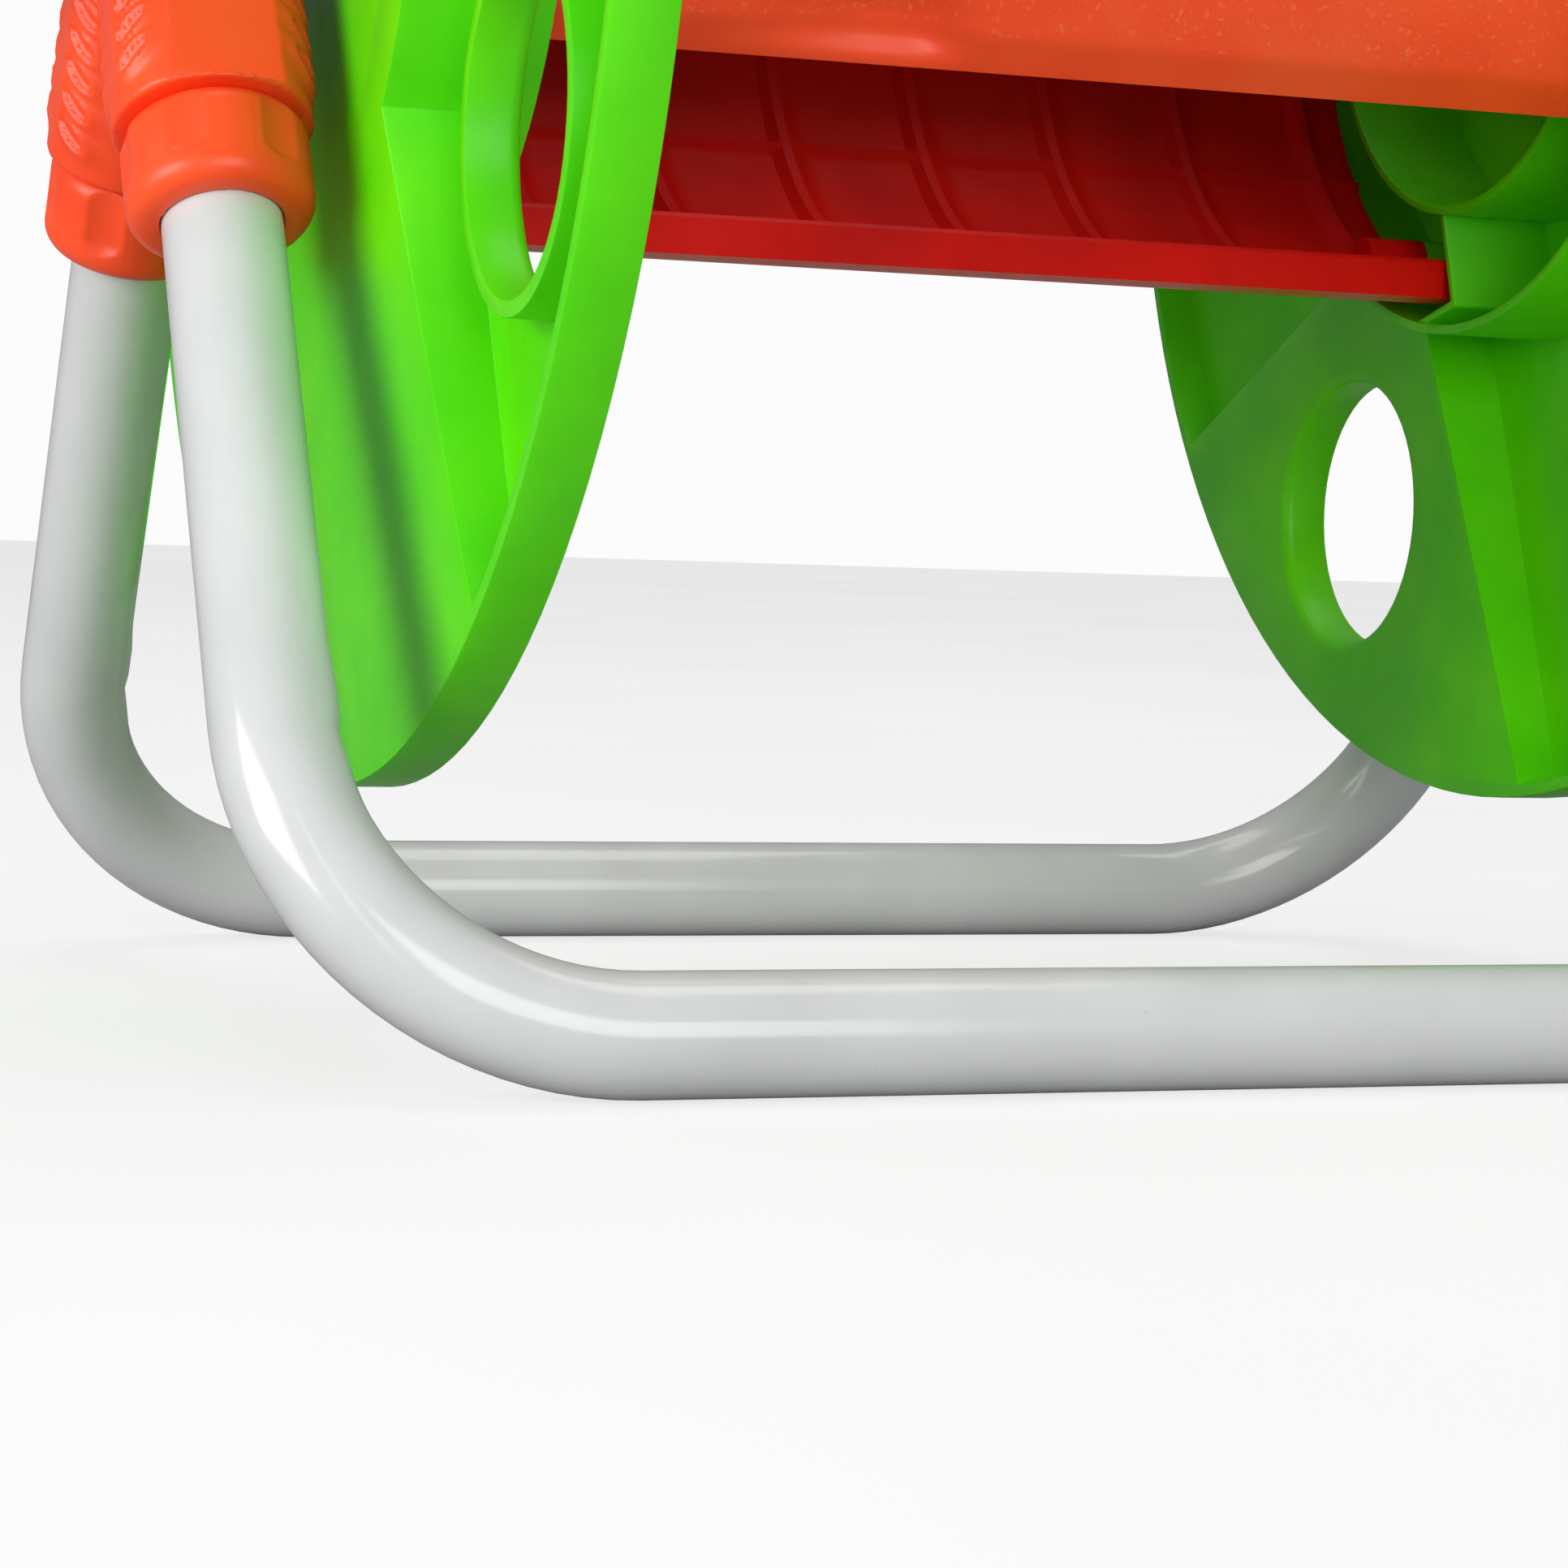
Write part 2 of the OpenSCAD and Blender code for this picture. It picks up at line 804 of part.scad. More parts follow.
// Quick connector for the supply hose, screwed onto the stub
module inlet_connector() {
    grip_t = 3.4;
    nut_len = 22;
    taper_len = 4.6;
    neck_len = 8;
    scallops = 12;
    color("orangered")
        left_out(swivel_x + swivel_len + stub_len - thread_grip)
            difference() {
                union() {
                    cylinder(r = thread_r + grip_t, h = nut_len);
                    translate([0, 0, nut_len - eps])
                        cylinder(r1 = thread_r + grip_t, r2 = nipple_r + 1.5, h = taper_len);
                    translate([0, 0, nut_len + taper_len - 2 * eps])
                        cylinder(r = nipple_r, h = nipple_len + 2 * eps);
                }
                translate([0, 0, -1]) cylinder(r = thread_r + run_gap, h = thread_grip + 1.5);
                translate([0, 0, -1]) cylinder(r = water_r - 1, h = nut_len + nipple_len + 8);
                translate([0, 0, nut_len + taper_len + nipple_len - neck_len])
                    rotate_extrude() translate([nipple_r - 1, 0]) square([2, 3]);
                for (n = [0 : scallops - 1])
                    rotate(n * 360 / scallops) translate([thread_r + grip_t + 1.4, 0, -1])
                        cylinder(r = 2.4, h = nut_len - 3, $fn = 24);
            }
}

front_leg();
rear_leg();
handle_tube();
handle_grip();
left_bracket();
right_bracket();
left_front_collar();
left_rear_collar();
left_top_collar();
right_front_collar();
right_rear_collar();
right_top_collar();
left_bush();
right_bush();
left_bracket_screws();
right_bracket_screws();
left_flange();
right_flange();
front_drum_shell();
rear_drum_shell();
left_flange_screws();
right_flange_screws();
left_spindle();
right_spindle();
outlet_elbow();
outlet_nut();
crank_arm();
crank_bolt();
knob_pin();
crank_knob();
inlet_swivel();
inlet_seal();
inlet_connector();
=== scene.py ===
import bpy
import json
import math
import numpy as np
from mathutils import Matrix, Vector


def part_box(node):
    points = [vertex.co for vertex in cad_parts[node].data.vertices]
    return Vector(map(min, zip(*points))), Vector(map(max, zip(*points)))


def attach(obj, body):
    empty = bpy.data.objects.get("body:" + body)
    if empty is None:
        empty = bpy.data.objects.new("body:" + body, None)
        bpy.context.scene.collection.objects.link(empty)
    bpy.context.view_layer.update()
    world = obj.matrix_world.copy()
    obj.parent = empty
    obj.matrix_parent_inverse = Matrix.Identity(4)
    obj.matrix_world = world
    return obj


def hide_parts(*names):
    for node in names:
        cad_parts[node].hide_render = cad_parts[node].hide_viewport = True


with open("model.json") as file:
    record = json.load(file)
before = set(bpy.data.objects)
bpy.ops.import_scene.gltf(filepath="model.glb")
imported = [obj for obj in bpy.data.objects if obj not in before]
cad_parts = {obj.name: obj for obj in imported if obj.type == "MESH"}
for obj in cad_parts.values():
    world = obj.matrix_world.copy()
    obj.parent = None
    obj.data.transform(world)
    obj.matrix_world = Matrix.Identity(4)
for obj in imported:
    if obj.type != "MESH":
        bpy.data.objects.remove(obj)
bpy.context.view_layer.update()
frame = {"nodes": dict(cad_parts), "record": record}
nodes = frame["nodes"]
mm = 0.001

# which body each node belongs to, and which material slot it has in the record
bodyOf = {n: body for body, names in frame["record"]["behaviour"]["bodies"].items() for n in names}
slotOf = {row["node"]: row["material_slot"] for row in frame["record"]["subparts"]}


def pickNothing():
    bpy.ops.object.select_all(action="DESELECT")


def pick(obj):
    pickNothing()
    obj.select_set(True)
    bpy.context.view_layer.objects.active = obj


def freeze(obj):
    # moves an object's place into its mesh, so that the object sits at the origin
    pick(obj)
    bpy.ops.object.transform_apply(location=True, rotation=True, scale=True)


def applied(obj, kind, **settings):
    pick(obj)
    modifier = obj.modifiers.new(kind.lower(), kind)
    for key, value in settings.items():
        setattr(modifier, key, value)
    bpy.ops.object.modifier_apply(modifier=modifier.name)
    return obj


def smooth(obj, degrees=30):
    pick(obj)
    bpy.ops.object.shade_smooth_by_angle(angle=math.radians(degrees))


def roundEdges(obj, width, segments=2, degrees=35):
    applied(obj, "BEVEL", width=width, segments=segments, limit_method="ANGLE",
            angle_limit=math.radians(degrees), use_clamp_overlap=False, miter_outer="MITER_ARC")


def cadCopy(node, name):
    # a merged copy of a CAD mesh, with its flat faces joined up again
    source = nodes[node]
    piece = source.copy()
    piece.data = source.data.copy()
    piece.name = name
    piece.parent = None
    for key in list(piece.keys()):
        del piece[key]
    bpy.context.scene.collection.objects.link(piece)
    pick(piece)
    bpy.ops.object.mode_set(mode="EDIT")
    bpy.ops.mesh.select_all(action="SELECT")
    bpy.ops.mesh.remove_doubles(threshold=1e-6)
    bpy.ops.mesh.dissolve_limited(angle_limit=math.radians(0.6))
    bpy.ops.object.mode_set(mode="OBJECT")
    return piece


standing = set()  # the nodes that already have a piece


def finishPiece(piece, material, *standsFor):
    standing.update(standsFor)
    piece.data.materials.clear()
    piece.data.materials.append(material)
    first = standsFor[0]
    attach(piece, bodyOf[first])
    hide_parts(*standsFor)


def srgb(code):
    # "#RRGGBB" to linear red, green, blue and alpha
    parts = [int(code[i:i + 2], 16) / 255 for i in (1, 3, 5)]
    return [p / 12.92 if p <= 0.04045 else ((p + 0.055) / 1.055) ** 2.4 for p in parts] + [1.0]


def addNode(material, kind, settings=None, **links):
    # adds one node; links are input=(node, output) with _ for a space in an input's name
    node = material.node_tree.nodes.new(kind)
    for key, value in (settings or {}).items():
        if isinstance(key, str) and hasattr(node, key):
            setattr(node, key, value)
        else:
            node.inputs[key].default_value = value
    for key, (source, output) in links.items():
        name = key.replace("_", " ") if not key.startswith("n") or not key[1:].isdigit() else int(key[1:])
        material.node_tree.links.new(source.outputs[output], node.inputs[name])
    return node


def newMaterial(name):
    material = bpy.data.materials.new(name)
    material.use_nodes = True
    material.node_tree.nodes.clear()
    return material


def ramp(material, source, output, stops):
    node = addNode(material, "ShaderNodeValToRGB", n0=(source, output))
    while len(node.color_ramp.elements) < len(stops):
        node.color_ramp.elements.new(0.5)
    for element, (position, colour) in zip(node.color_ramp.elements, stops):
        element.position = position
        element.color = srgb(colour) if isinstance(colour, str) else [colour, colour, colour, 1]
    return node


def surface(material, shader, colour, roughness, bump):
    links = material.node_tree.links
    out = addNode(material, "ShaderNodeOutputMaterial")
    links.new(colour.outputs[0], shader.inputs["Base Color"])
    links.new(roughness.outputs[0], shader.inputs["Roughness"])
    links.new(bump.outputs["Normal"], shader.inputs["Normal"])
    links.new(shader.outputs[0], out.inputs["Surface"])


def inMillimetres(material):
    # the piece's own coordinates in mm, so that every pattern's scale is one over a real size
    place = addNode(material, "ShaderNodeTexCoord")
    return addNode(material, "ShaderNodeMapping", {"Scale": (1 / mm,) * 3}, Vector=(place, "Object"))


patternSizes = {  # each pattern's real size in mm
    "pigmentCloud": 38, "mouldWave": 9, "coatCloud": 30, "dustSpacing": 11, "orangePeel": 2.4,
    "zincCloud": 3, "zincGrain": 0.3,
}


def plastic(name, deep, mid, pale, settings, grainMm, grainDepth, rough, speck=None):
    # moulded plastic: cloudy pigment, a fine mould grain in the bump, and a slightly uneven sheen
    material = newMaterial(name)
    inMm = inMillimetres(material)
    mapped = (inMm, "Vector")
    cloud = addNode(material, "ShaderNodeTexNoise", {"Scale": 1 / patternSizes["pigmentCloud"], "Detail": 3.0},
                    Vector=mapped)
    colour = ramp(material, cloud, "Fac", [(0.32, deep), (0.52, mid), (0.72, pale)])
    grain = addNode(material, "ShaderNodeTexNoise", {"Scale": 1 / grainMm, "Detail": 2.0}, Vector=mapped)
    wave = addNode(material, "ShaderNodeTexNoise", {"Scale": 1 / patternSizes["mouldWave"], "Detail": 1.0},
                   Vector=mapped)
    height = addNode(material, "ShaderNodeMix", {"data_type": "FLOAT", "Factor": 0.35},
                     n2=(grain, "Fac"), n3=(wave, "Fac"))
    bump = addNode(material, "ShaderNodeBump", {"Strength": 0.6, "Distance": grainDepth * mm},
                   Height=(height, "Result"))
    sheen = addNode(material, "ShaderNodeMapRange", {"To Min": rough[0], "To Max": rough[1]},
                    Value=(wave, "Fac"))
    if speck:
        tops = ramp(material, grain, "Fac", [(0.6, 0.0), (0.75, 0.7)])
        paler = ramp(material, cloud, "Fac", [(0.0, speck), (1.0, speck)])
        colour = addNode(material, "ShaderNodeMixRGB", {}, n0=(tops, "Color"), n1=(colour, "Color"),
                         n2=(paler, "Color"))
    shader = addNode(material, "ShaderNodeBsdfPrincipled", settings)
    surface(material, shader, colour, sheen, bump)
    return material


mouldedGreen = plastic(
    "injectionMouldedLimePolypropylene", "#50D400", "#5CDC00", "#6CE600",
    {"IOR": 1.49, "Specular IOR Level": 0.32, "Subsurface Weight": 0.12,
     "Subsurface Radius": (0.6, 1.0, 0.15), "Subsurface Scale": 0.003},
    0.5, 0.05, (0.34, 0.44))  # waxy half-gloss that glows a little where it is thin

mouldedOrange = plastic(
    "injectionMouldedOrangePolypropylene", "#F8461A", "#FF4E20", "#FF5A2A",
    {"IOR": 1.49, "Specular IOR Level": 0.4, "Subsurface Weight": 0.12,
     "Subsurface Radius": (1.0, 0.35, 0.1), "Subsurface Scale": 0.003},
    0.5, 0.04, (0.30, 0.42))  # soft half-gloss with blurred highlights

sparkErodedOrange = plastic(
    "sparkErodedOrangePolypropylene", "#F8461A", "#FF4E20", "#FF5A2A",
    {"IOR": 1.49, "Specular IOR Level": 0.35},
    1.3, 0.16, (0.42, 0.55), speck="#FF7A52")  # the mould's etched texture: coarse matt grain with pale specks

insidePaintedLightAndShade = plastic(
    "insidePaintedLightAndShadePolypropylene", "#CC0600", "#DC0A00", "#E81204",
    {"IOR": 1.49, "Specular IOR Level": 0.12},
    0.9, 0.05, (0.45, 0.6))  # the plain inside face, painted a deeper, darker red that stands in for light come through the wall and for the shade inside the drum

mouldedBlack = plastic(
    "mouldedBlackAcetal", "#16181A", "#1B1D20", "#232629", {"IOR": 1.48}, 0.4, 0.03, (0.28, 0.42))

nitrileRubber = plastic(
    "mouldedNitrileRubber", "#0C0C0C", "#101010", "#151515", {"IOR": 1.52}, 0.3, 0.03, (0.55, 0.7))


def powderCoat():
    # polyester powder coating on steel: light grey gloss, a faint orange peel and a few dust nibs
    material = newMaterial("powderCoatedSteelTube")
    inMm = inMillimetres(material)
    cloud = addNode(material, "ShaderNodeTexNoise", {"Scale": 1 / patternSizes["coatCloud"], "Detail": 2.0},
                    Vector=(inMm, "Vector"))
    base = ramp(material, cloud, "Fac", [(0.3, "#C9CACB"), (0.7, "#D2D3D4")])
    dust = addNode(material, "ShaderNodeTexVoronoi",
                   {"Scale": 1 / patternSizes["dustSpacing"], "Randomness": 1.0}, Vector=(inMm, "Vector"))
    nib = ramp(material, dust, "Distance", [(0.0, 0.55), (0.022, 1.0)])
    colour = addNode(material, "ShaderNodeMixRGB", {"blend_type": "MULTIPLY", "Fac": 1.0},
                     Color1=(base, "Color"), Color2=(nib, "Color"))
    peel = addNode(material, "ShaderNodeTexNoise", {"Scale": 1 / patternSizes["orangePeel"], "Detail": 1.5},
                   Vector=(inMm, "Vector"))
    bump = addNode(material, "ShaderNodeBump", {"Strength": 0.35, "Distance": 0.05 * mm}, Height=(peel, "Fac"))
    sheen = addNode(material, "ShaderNodeMapRange", {"To Min": 0.13, "To Max": 0.2}, Value=(cloud, "Fac"))
    shader = addNode(material, "ShaderNodeBsdfPrincipled", {"IOR": 1.5})
    surface(material, shader, colour, sheen, bump)
    return material


def zincPlate():
    # bright zinc on steel: bluish white metal with a fine turned grain
    material = newMaterial("zincPlatedSteel")
    inMm = inMillimetres(material)
    cloud = addNode(material, "ShaderNodeTexNoise", {"Scale": 1 / patternSizes["zincCloud"], "Detail": 3.0},
                    Vector=(inMm, "Vector"))
    colour = ramp(material, cloud, "Fac", [(0.3, "#A9ADB3"), (0.7, "#C6C9CC")])
    grain = addNode(material, "ShaderNodeTexNoise", {"Scale": 1 / patternSizes["zincGrain"], "Detail": 2.0},
                    Vector=(inMm, "Vector"))
    bump = addNode(material, "ShaderNodeBump", {"Strength": 0.4, "Distance": 0.02 * mm}, Height=(grain, "Fac"))
    sheen = addNode(material, "ShaderNodeMapRange", {"To Min": 0.24, "To Max": 0.42}, Value=(cloud, "Fac"))
    shader = addNode(material, "ShaderNodeBsdfPrincipled", {"Metallic": 1.0})
    surface(material, shader, colour, sheen, bump)
    return material


paintedTube = powderCoat()
zincSteel = zincPlate()
print("materials made")

looks = {
    "tube_paint": paintedTube, "orange_plastic": mouldedOrange, "green_plastic": mouldedGreen,
    "dark_plastic": mouldedBlack, "zinc_steel": zincSteel, "seal_rubber": nitrileRubber,
}

def editing(obj, mode="FACE"):
    pick(obj)
    bpy.ops.object.mode_set(mode="EDIT")
    bpy.ops.mesh.select_mode(type=mode)
    bpy.ops.mesh.select_all(action="SELECT")


def done():
    bpy.ops.object.mode_set(mode="OBJECT")
    return bpy.context.object


def joined(pieces, name):
    pickNothing()
    for piece in pieces:
        piece.select_set(True)
    bpy.context.view_layer.objects.active = pieces[0]
    bpy.ops.object.join()
    pieces[0].name = name
    return pieces[0]


def merged(obj, others, operation="DIFFERENCE"):
    # adds or cuts away closed shapes one at a time
    for other in others:
        applied(obj, "BOOLEAN", operation=operation, object=other, solver="MANIFOLD")
        bpy.data.objects.remove(other)
    return obj


def twin(obj, name, place=None, flip=False):
    # a copy with a mesh of its own, put in place; a mirrored one is turned outside out again
    copy = obj.copy()
    copy.data = obj.data.copy()
    copy.name = name
    bpy.context.scene.collection.objects.link(copy)
    if place is not None:
        copy.data.transform(place)
    if flip:
        editing(copy)
        bpy.ops.mesh.flip_normals()
        done()
    return copy


def rod(radius, length, base, along, around=96, tip=None):
    # a cylinder or cone in mm that starts at base and runs along a direction
    way = Vector(along).normalized()
    middle = (Vector(base) + way * length / 2) * mm
    turn = way.to_track_quat("Z", "Y").to_euler()
    pickNothing()
    bpy.ops.mesh.primitive_cone_add(vertices=around, radius1=radius * mm, depth=length * mm, location=middle,
                                    radius2=(radius if tip is None else tip) * mm, rotation=turn)
    obj = bpy.context.object
    freeze(obj)
    return obj


def bean(centre, normal, along, sizes, around=20):
    # an ellipsoid in mm: sizes are its reach along the normal, across and along
    n = Vector(normal).normalized()
    long = Vector(along).normalized()
    across = long.cross(n)
    pickNothing()
    bpy.ops.mesh.primitive_uv_sphere_add(segments=around, ring_count=around // 2, radius=mm)
    obj = bpy.context.object
    turn = Matrix((n * sizes[0], across * sizes[1], long * sizes[2])).transposed().to_4x4()
    obj.data.transform(Matrix.Translation(Vector(centre) * mm) @ turn)
    return obj


tubeSizes = {"radius": 11, "wall": 1.5, "around": 56, "legSteps": 24, "bendSteps": 22, "barSteps": 12,
             "legBend": 58, "handleBend": 46, "axleGap": 32,  # the tubes end this far from the axle
             "pinch": 0.9, "pinchReach": 6, "squash": 0.5, "pinchAbove": 0.5, "squashBelow": 1.4}


def bentTube(name, half, bend, height):
    # a U of tube in the XZ plane with its bar along X at Z = 0, marked where the bender's former gripped it
    sizes = tubeSizes
    side = half + bend
    pickNothing()
    bpy.ops.mesh.primitive_circle_add(vertices=sizes["around"], radius=sizes["radius"] * mm,
                                      location=(-side * mm, 0, height * mm))
    obj = bpy.context.object
    freeze(obj)
    editing(obj, "EDGE")
    quarter = math.pi / 2
    rise = (height - bend) * mm
    # steps and travel of each straight, and the side of each bend
    for steps, move in ((sizes["legSteps"], (0, 0, -rise)), (0, -1), (sizes["barSteps"], (2 * half * mm, 0, 0)),
                        (0, 1), (sizes["legSteps"], (0, 0, rise))):
        if steps:
            for _ in range(steps):
                bpy.ops.mesh.extrude_region_move(TRANSFORM_OT_translate={"value": Vector(move) / steps})
        else:
            bpy.ops.mesh.spin(steps=sizes["bendSteps"], angle=quarter, center=(move * half * mm, 0, bend * mm),
                              axis=(0, 1, 0))
    bpy.ops.mesh.select_all(action="SELECT")
    bpy.ops.mesh.remove_doubles(threshold=1e-6)
    bpy.ops.mesh.normals_make_consistent(inside=False)
    done()
    # the grip mark swells the inside just above the bend, and the bend itself is a little flat inside
    for v in obj.data.vertices:
        inward = (side * mm - abs(v.co.x)) / (sizes["radius"] * mm)
        above = (v.co.z / mm - bend) / sizes["pinchReach"]
        if inward > 0 and abs(v.co.x) > half * mm and v.co.z > 0.7 * bend * mm:
            swell = math.exp(-(above - sizes["pinchAbove"]) ** 2) * sizes["pinch"]
            swell -= math.exp(-(above + sizes["squashBelow"]) ** 2) * sizes["squash"]
            v.co.x -= math.copysign(swell * min(inward, 1) ** 2 * mm, v.co.x)
    obj.name = name
    applied(obj, "SOLIDIFY", thickness=sizes["wall"] * mm, offset=-1)
    return obj


axleHeight = sum(c.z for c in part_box("left_bush")) / 2 / mm
legLow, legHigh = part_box("front_leg")
footY = -(legLow.y / mm + tubeSizes["radius"])
legX = legHigh.x / mm - tubeSizes["radius"]
lean = math.atan2(footY, axleHeight - tubeSizes["radius"])
legLength = math.hypot(footY, axleHeight - tubeSizes["radius"])
tubeGap = tubeSizes["axleGap"]
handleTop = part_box("handle_tube")[1].z / mm - tubeSizes["radius"]


def makeTubes():
    leg = bentTube("frontLegTube", legX - tubeSizes["legBend"], tubeSizes["legBend"], legLength - tubeGap)
    other = twin(leg, "rearLegTube")
    for obj, end in ((leg, -1), (other, 1)):
        move = Matrix.Translation((0, end * footY * mm, tubeSizes["radius"] * mm))
        obj.data.transform(move @ Matrix.Rotation(end * lean, 4, "X"))
        smooth(obj, 40)
    handle = bentTube("carryHandleTube", legX - tubeSizes["handleBend"], tubeSizes["handleBend"],
                      handleTop - axleHeight - tubeGap)
    handle.data.transform(Matrix.Translation((0, 0, handleTop * mm)) @ Matrix.Rotation(math.pi, 4, "X"))
    smooth(handle, 40)
    finishPiece(leg, paintedTube, "front_leg")
    finishPiece(other, paintedTube, "rear_leg")
    finishPiece(handle, paintedTube, "handle_tube")


makeTubes()
print("tubes made")

bracketSizes = {
    "socket": 17.2, "mouth": 18.5, "reach": 67.5, "topReach": 60, "boss": 26, "bossWidth": 14,
    "housing": 21, "width": 18, "voxel": 0.7, "relax": 2, "bore": 11.3, "bushBore": 15.2,
    "strip": 15.2, "stripHalfAngle": 44, "stripFade": 0.15,  # the smooth strip's distance out and its edges
    "skinFrom": (14.2, 15.2), "skinTo": (19.5, 20.5), "reliefFrom": (14, 18), "reliefStop": (1.2, 0.6),
    "web": 30, "webWidth": 12, "webDrop": 26,
    "leafPitch": 6.3, "leafRows": 7, "leafStart": 8.5, "leafTilt": 60, "leafColumns": (58, 120),
    "leafLength": 4.7, "leafWidth": 1.5, "leafDepth": 3.2, "leafTaper": 0.28, "leafRim": (0.5, 1.0),
    "lobeHeight": 1.7, "lobeWidth": 2.9, "lobeLength": 6.0, "lobeSquareness": 1.6,
}


def socketAxis(turn):
    # the way out of the hub along a socket that is turned from straight down
    return Vector((0, math.sin(turn), -math.cos(turn)))


def softStep(value, low, high):
    t = np.clip((value - low) / (high - low), 0, 1)
    return t * t * (3 - 2 * t)


def pressLeaves(obj, sockets):
    # planes the smooth strips and presses the rows of leaf-shaped dimples into the sockets' sides
    sizes = bracketSizes
    count = len(obj.data.vertices)
    points = np.zeros(count * 3)
    obj.data.vertices.foreach_get("co", points)
    points = points.reshape(-1, 3) / mm
    for turn, reach, face in sockets:
        axis, front = np.array(socketAxis(turn)), np.array(face)
        down = points @ axis
        out = points - np.outer(down, axis)
        radius = np.linalg.norm(out, axis=1)
        away = out / np.maximum(radius, 1e-6)[:, None]
        angle = np.arctan2(np.abs(out[:, 0]), out @ front)
        skin = softStep(radius, *sizes["skinFrom"]) * (1 - softStep(radius, *sizes["skinTo"]))
        skin *= softStep(down, *sizes["reliefFrom"])
        skin *= 1 - softStep(down, *(reach - stop for stop in sizes["reliefStop"]))
        height = np.zeros(count)
        for column in sizes["leafColumns"]:
            wideEnd = 1 if column < 90 else -1
            for row in range(sizes["leafRows"]):
                up = (reach - sizes["leafStart"] - row * sizes["leafPitch"]) - down
                over = sizes["socket"] * (math.radians(column) - angle)
                tilt = math.radians(sizes["leafTilt"])
                along = up * math.cos(tilt) + over * math.sin(tilt)
                across = over * math.cos(tilt) - up * math.sin(tilt)
                lobe = (across / sizes["lobeWidth"]) ** 2 + (along / sizes["lobeLength"]) ** 2
                lobe = np.exp(-lobe ** sizes["lobeSquareness"])
                taper = 1 + sizes["leafTaper"] * wideEnd * along / sizes["leafLength"]
                width = sizes["leafWidth"] * np.clip(taper, 0.3, 2)
                reachIn = np.sqrt((across / width) ** 2 + (along / sizes["leafLength"]) ** 2)
                height = np.maximum(height, lobe * sizes["lobeHeight"])
                height -= (1 - softStep(reachIn, *sizes["leafRim"])) * sizes["leafDepth"]
        strip = np.maximum(out @ front - sizes["strip"], 0)
        strip *= softStep(math.radians(sizes["stripHalfAngle"]) - angle, 0, sizes["stripFade"])
        points += (away * height[:, None] - np.outer(strip, front)) * skin[:, None]
    obj.data.vertices.foreach_set("co", (points * mm).ravel())
    obj.data.update()


def bracketShape():
    # the left bracket, centred on the axle
    sizes = bracketSizes
    sockets = ((-lean, sizes["reach"], -1), (lean, sizes["reach"], 1), (math.pi, sizes["topReach"], -1))
    solids, bores, faces = [], [], []
    for turn, reach, end in sockets:
        axis = socketAxis(turn)
        face = Vector((1, 0, 0)).cross(axis)
        face = face if face.y * end > 0 else -face
        faces.append((turn, reach, face))
        solids.append(rod(sizes["socket"], reach, (0, 0, 0), axis, 128, tip=sizes["mouth"]))
        bores.append(rod(sizes["bore"], reach, axis * tubeGap, axis, 64))
    solids.append(rod(sizes["boss"], 2 * sizes["bossWidth"], (-sizes["bossWidth"], 0, 0), (1, 0, 0), 128))
    solids.append(rod(sizes["housing"], 2 * sizes["width"], (-sizes["width"], 0, 0), (1, 0, 0), 128))
    webStart = (-sizes["webWidth"] / 2, 0, -sizes["webDrop"])
    solids.append(rod(sizes["web"], sizes["webWidth"], webStart, (1, 0, 0), 3))  # fills the leg sockets' crotch
    bores.append(rod(sizes["bushBore"], 60, (-30, 0, 0), (1, 0, 0), 64))
    bracket = merged(merged(solids[0], solids[1:], "UNION"), bores)
    bracket.name = "bracketShape"
    applied(bracket, "REMESH", mode="VOXEL", voxel_size=sizes["voxel"] * mm, adaptivity=0)
    pressLeaves(bracket, faces)
    applied(bracket, "SMOOTH", factor=0.5, iterations=sizes["relax"])
    return bracket


collarSizes = {"outer": 16.9, "length": 20, "chamfer": 3.8, "flutes": 6, "fluteRadius": 12, "fluteDepth": 0.9,
               "fluteStop": 8.2, "fluteEnd": 0.6, "bore": 11.15, "voxel": 0.5, "relax": 2, "gap": 0.05}


def collarShape():
    # a fluted ring below the origin; its flutes run out before the rounded lower edge
    sizes = collarSizes
    ring = rod(sizes["outer"], sizes["length"], (0, 0, -sizes["length"]), (0, 0, 1), 144)
    for edge in ring.data.edges:
        edge.select = all(ring.data.vertices[v].co.z < -sizes["length"] * mm * 0.99 for v in edge.vertices)
    bpy.ops.object.mode_set(mode="EDIT")
    bpy.ops.mesh.select_mode(type="EDGE")
    bpy.ops.mesh.bevel(offset=sizes["chamfer"] * mm, segments=6, affect="EDGES")
    done()
    cutters = [rod(sizes["bore"], 60, (0, 0, -40), (0, 0, 1), 96)]
    for n in range(sizes["flutes"]):
        angle = n * 2 * math.pi / sizes["flutes"]
        away = sizes["outer"] + sizes["fluteRadius"] - sizes["fluteDepth"]
        x, y = away * math.cos(angle), away * math.sin(angle)
        low = -sizes["length"] + sizes["fluteStop"]
        reach = (sizes["fluteRadius"], sizes["fluteRadius"], sizes["fluteRadius"] * sizes["fluteEnd"])
        flute = bean((x, y, low), (0, 1, 0), (0, 0, 1), reach, 64)
        for v in flute.data.vertices:
            if v.co.z > low * mm + 1e-6:
                v.co.z += sizes["length"] * mm
        cutters.append(flute)
    merged(ring, cutters)
    applied(ring, "REMESH", mode="VOXEL", voxel_size=sizes["voxel"] * mm, adaptivity=0)
    applied(ring, "SMOOTH", factor=0.5, iterations=sizes["relax"])
    return ring


